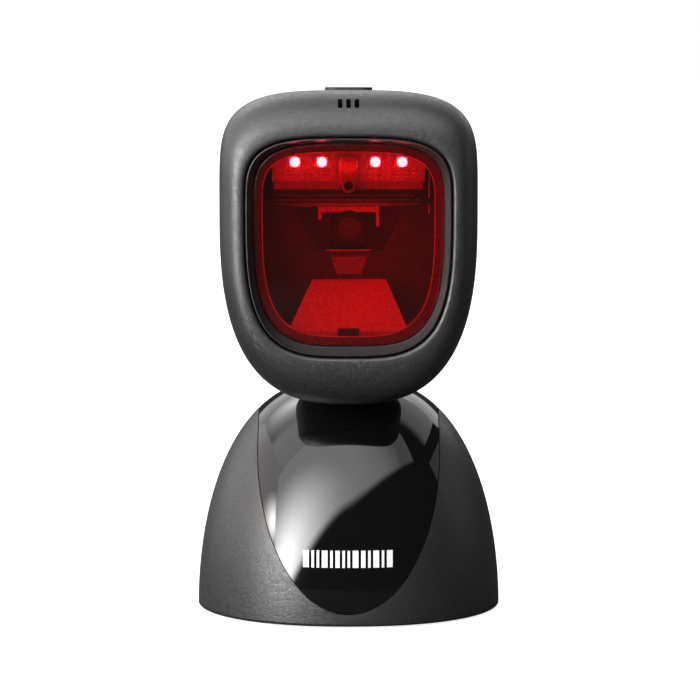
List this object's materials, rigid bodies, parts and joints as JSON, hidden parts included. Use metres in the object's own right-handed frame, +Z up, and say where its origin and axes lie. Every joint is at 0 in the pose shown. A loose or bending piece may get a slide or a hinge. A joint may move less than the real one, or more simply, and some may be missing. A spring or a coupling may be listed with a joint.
{
  "type": "presentation barcode scanner",
  "caption": "Hands-free counter barcode scanner: a tilting head with a deep red scan window, on a weighted dome stand with a gloss front inlay and a top button.",
  "frame": {"origin": "centre of the stand's footprint, on the counter", "axes": "+Z up, the scan window faces -Y, +X to the right as seen from the front"},
  "size_m": [0.085, 0.085, 0.1461],
  "materials": {
    "matte_black_shell": "fine spark-eroded texture",
    "gloss_black_inlay": "polished",
    "red_filter_window": "clear deep red",
    "inner_black": "matte moulded",
    "light_grey_reflector": "satin moulded",
    "clear_optic": "clear moulded",
    "black_rubber": "matte",
    "green_board": "solder mask",
    "chip_black": "moulded epoxy",
    "zinc_steel": "zinc plated",
    "cast_ballast": "as cast",
    "red_lamp": "lit red lamp"
  },
  "bodies": {
    "stand": {"rubber_pad": "black_rubber", "base_plate": "inner_black", "ballast_block": "cast_ballast", "base_shell": "matte_black_shell", "gloss_inlay": "gloss_black_inlay", "neck_post": "inner_black", "base_screw_front_left": "zinc_steel", "base_screw_front_right": "zinc_steel", "base_screw_rear_left": "zinc_steel", "base_screw_rear_right": "zinc_steel", "neck_screw_left": "zinc_steel", "neck_screw_right": "zinc_steel"},
    "head": {"front_bezel": "matte_black_shell", "rear_shell": "matte_black_shell", "window_frame": "matte_black_shell", "scan_window": "red_filter_window", "optics_shroud": "inner_black", "imager_hood": "inner_black", "imager_holder": "inner_black", "imager_lens": "inner_black", "led_bracket": "inner_black", "interface_jack": "inner_black", "switch_body": "inner_black", "beeper": "inner_black", "lower_reflector": "light_grey_reflector", "aimer_lens": "clear_optic", "lens_glass": "clear_optic", "sensor_lens": "clear_optic", "window_gasket": "black_rubber", "friction_washer_left": "black_rubber", "friction_washer_right": "black_rubber", "led_board": "green_board", "main_board": "green_board", "top_board": "green_board", "decoder_chip": "chip_black", "led_1": "red_lamp", "led_2": "red_lamp", "led_3": "red_lamp", "led_4": "red_lamp", "sensor_screw": "zinc_steel", "case_screw_left": "zinc_steel", "case_screw_right": "zinc_steel", "shroud_screw_left": "zinc_steel", "shroud_screw_right": "zinc_steel", "main_board_screw_left": "zinc_steel", "main_board_screw_right": "zinc_steel", "top_board_screw_left": "zinc_steel", "top_board_screw_right": "zinc_steel", "yoke_screw_left": "zinc_steel", "yoke_screw_right": "zinc_steel", "tilt_yoke": "zinc_steel", "tilt_axle": "zinc_steel", "spring_washer": "zinc_steel", "axle_nut": "zinc_steel"},
    "button": {"top_button": "matte_black_shell", "switch_plunger": "inner_black"}
  },
  "joints": [
    {"name": "head_tilt", "type": "hinge", "parent": "stand", "child": "head", "pos_m": [0, 0.002, 0.078], "axis": [1, 0, 0], "range_deg": [-22, 8]},
    {"name": "button_press", "type": "slide", "parent": "head", "child": "button", "axis": [0, 0, -1], "range_m": [0, 0.0005], "stiffness_N_per_m": 1500, "springref_m": -0.0003}
  ]
}
